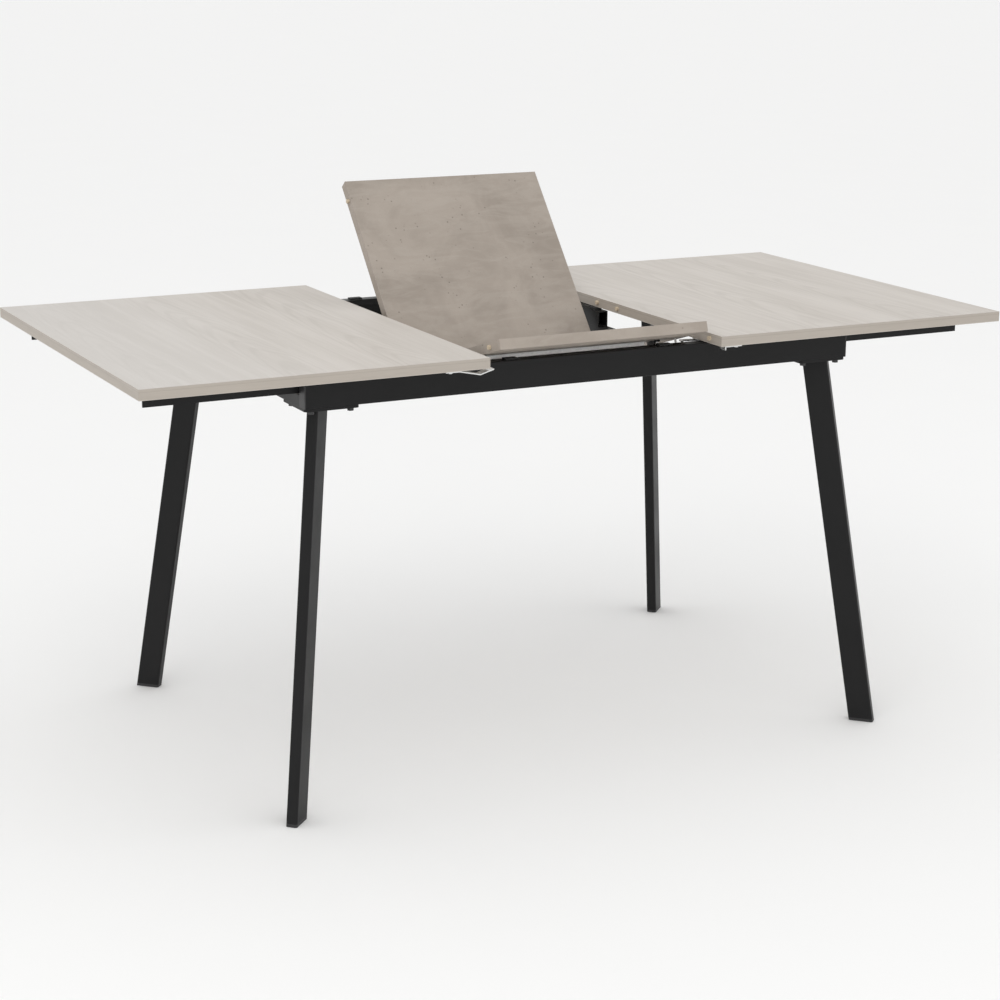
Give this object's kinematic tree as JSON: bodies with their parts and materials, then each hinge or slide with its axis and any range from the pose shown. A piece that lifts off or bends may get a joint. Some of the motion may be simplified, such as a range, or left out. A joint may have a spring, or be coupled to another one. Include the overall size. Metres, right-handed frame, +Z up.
{
  "type": "extendable dining table",
  "caption": "Rectangular extendable dining table, top halves drawn apart, folding leaf half unfolded, splayed black steel legs.",
  "frame": {"origin": "on the floor under the middle of the table", "axes": "+X along the table's length, +Y to its rear, +Z up"},
  "size_m": [1.646, 0.8096, 0.9752],
  "materials": {
    "washed_wood_decor": "matt washed greige wood decor on board, faint cross grain",
    "washed_wood_edge": "matt edge band in the same wood decor",
    "concrete_decor": "matt concrete decor on board with blotches and pits",
    "concrete_edge": "matt edge band in the same concrete decor",
    "black_powder_coat": "matt fine-texture powder coat",
    "black_plastic": "matt moulded plastic",
    "black_steel": "black oxide",
    "bright_zinc": "bright zinc plate",
    "nylon": "natural nylon",
    "rubber_pad": "soft black rubber",
    "zinc_dowel": "bright zinc plate"
  },
  "bodies": {
    "frame": {"front_rail": "black_powder_coat", "rear_rail": "black_powder_coat", "left_end_rail": "black_powder_coat", "right_end_rail": "black_powder_coat", "left_cross_rail": "black_powder_coat", "right_cross_rail": "black_powder_coat", "left_top_support": "black_powder_coat", "right_top_support": "black_powder_coat", "left_guide_plate": "black_powder_coat", "right_guide_plate": "black_powder_coat", "buffer_pads": "rubber_pad", "rail_end_caps": "black_plastic", "leg_bolts": "black_steel", "front_left_leg": "black_powder_coat", "front_left_foot": "black_plastic", "front_left_leg_plate": "black_powder_coat", "front_right_leg": "black_powder_coat", "front_right_foot": "black_plastic", "front_right_leg_plate": "black_powder_coat", "rear_left_leg": "black_powder_coat", "rear_left_foot": "black_plastic", "rear_left_leg_plate": "black_powder_coat", "rear_right_leg": "black_powder_coat", "rear_right_foot": "black_plastic", "rear_right_leg_plate": "black_powder_coat"},
    "left_top": {"left_top_board": "washed_wood_decor", "left_top_edge_band": "washed_wood_edge", "left_front_runner": "black_powder_coat", "left_rear_runner": "black_powder_coat", "left_glide_shoes": "nylon", "left_top_screws": "bright_zinc", "left_catch": "bright_zinc"},
    "right_top": {"right_top_board": "washed_wood_decor", "right_top_edge_band": "washed_wood_edge", "right_front_runner": "black_powder_coat", "right_rear_runner": "black_powder_coat", "right_glide_shoes": "nylon", "right_top_screws": "bright_zinc", "right_catch": "bright_zinc", "right_top_dowels": "zinc_dowel", "latch_base": "bright_zinc"},
    "carriage": {"pivot_rod": "bright_zinc", "guide_rollers": "nylon"},
    "front_leaf": {"front_leaf_board": "concrete_decor", "front_leaf_edge_band": "concrete_edge", "front_leaf_dowels": "zinc_dowel", "pivot_brackets": "black_powder_coat", "leaf_cross_bar": "bright_zinc", "rest_lugs": "nylon", "latch_stud": "bright_zinc", "front_leaf_fasteners": "bright_zinc", "front_hinge_plates": "bright_zinc", "pivot_bushes": "nylon", "hinge_pins": "bright_zinc"},
    "latch": {"latch_hook": "bright_zinc"},
    "rear_leaf": {"rear_leaf_board": "concrete_decor", "rear_leaf_edge_band": "concrete_edge", "rear_leaf_dowels": "zinc_dowel", "rear_hinge_plates": "bright_zinc", "rear_hinge_screws": "bright_zinc"}
  },
  "joints": [
    {"name": "left_top_slide", "type": "slide", "parent": "frame", "child": "left_top", "axis": [-1, 0, 0], "range_m": [-0.0225, 0]},
    {"name": "right_top_slide", "type": "slide", "parent": "frame", "child": "right_top", "axis": [1, 0, 0], "range_m": [-0.0225, 0]},
    {"name": "leaf_stow", "type": "hinge", "parent": "frame", "child": "carriage", "pos_m": [0, -0.04752, 1.54389], "axis": [1, 0, 0], "range_deg": [0, 17]},
    {"name": "leaf_lift", "type": "hinge", "parent": "carriage", "child": "front_leaf", "pos_m": [0, -0.303, 0.727], "axis": [-1, 0, 0], "range_deg": [-17, 0]},
    {"name": "leaf_fold", "type": "hinge", "parent": "front_leaf", "child": "rear_leaf", "pos_m": [0, -0.00347, 0.67035], "axis": [1, 0, 0], "range_deg": [-66.7, 0]},
    {"name": "latch_swing", "type": "hinge", "parent": "right_top", "child": "latch", "pos_m": [0.243, -0.306, 0.7385], "axis": [0, 0, -1], "range_deg": [-13, 80]}
  ],
  "couplings": [
    {"joint": "leaf_fold", "follows": "leaf_lift", "ratio": 3.9235}
  ]
}
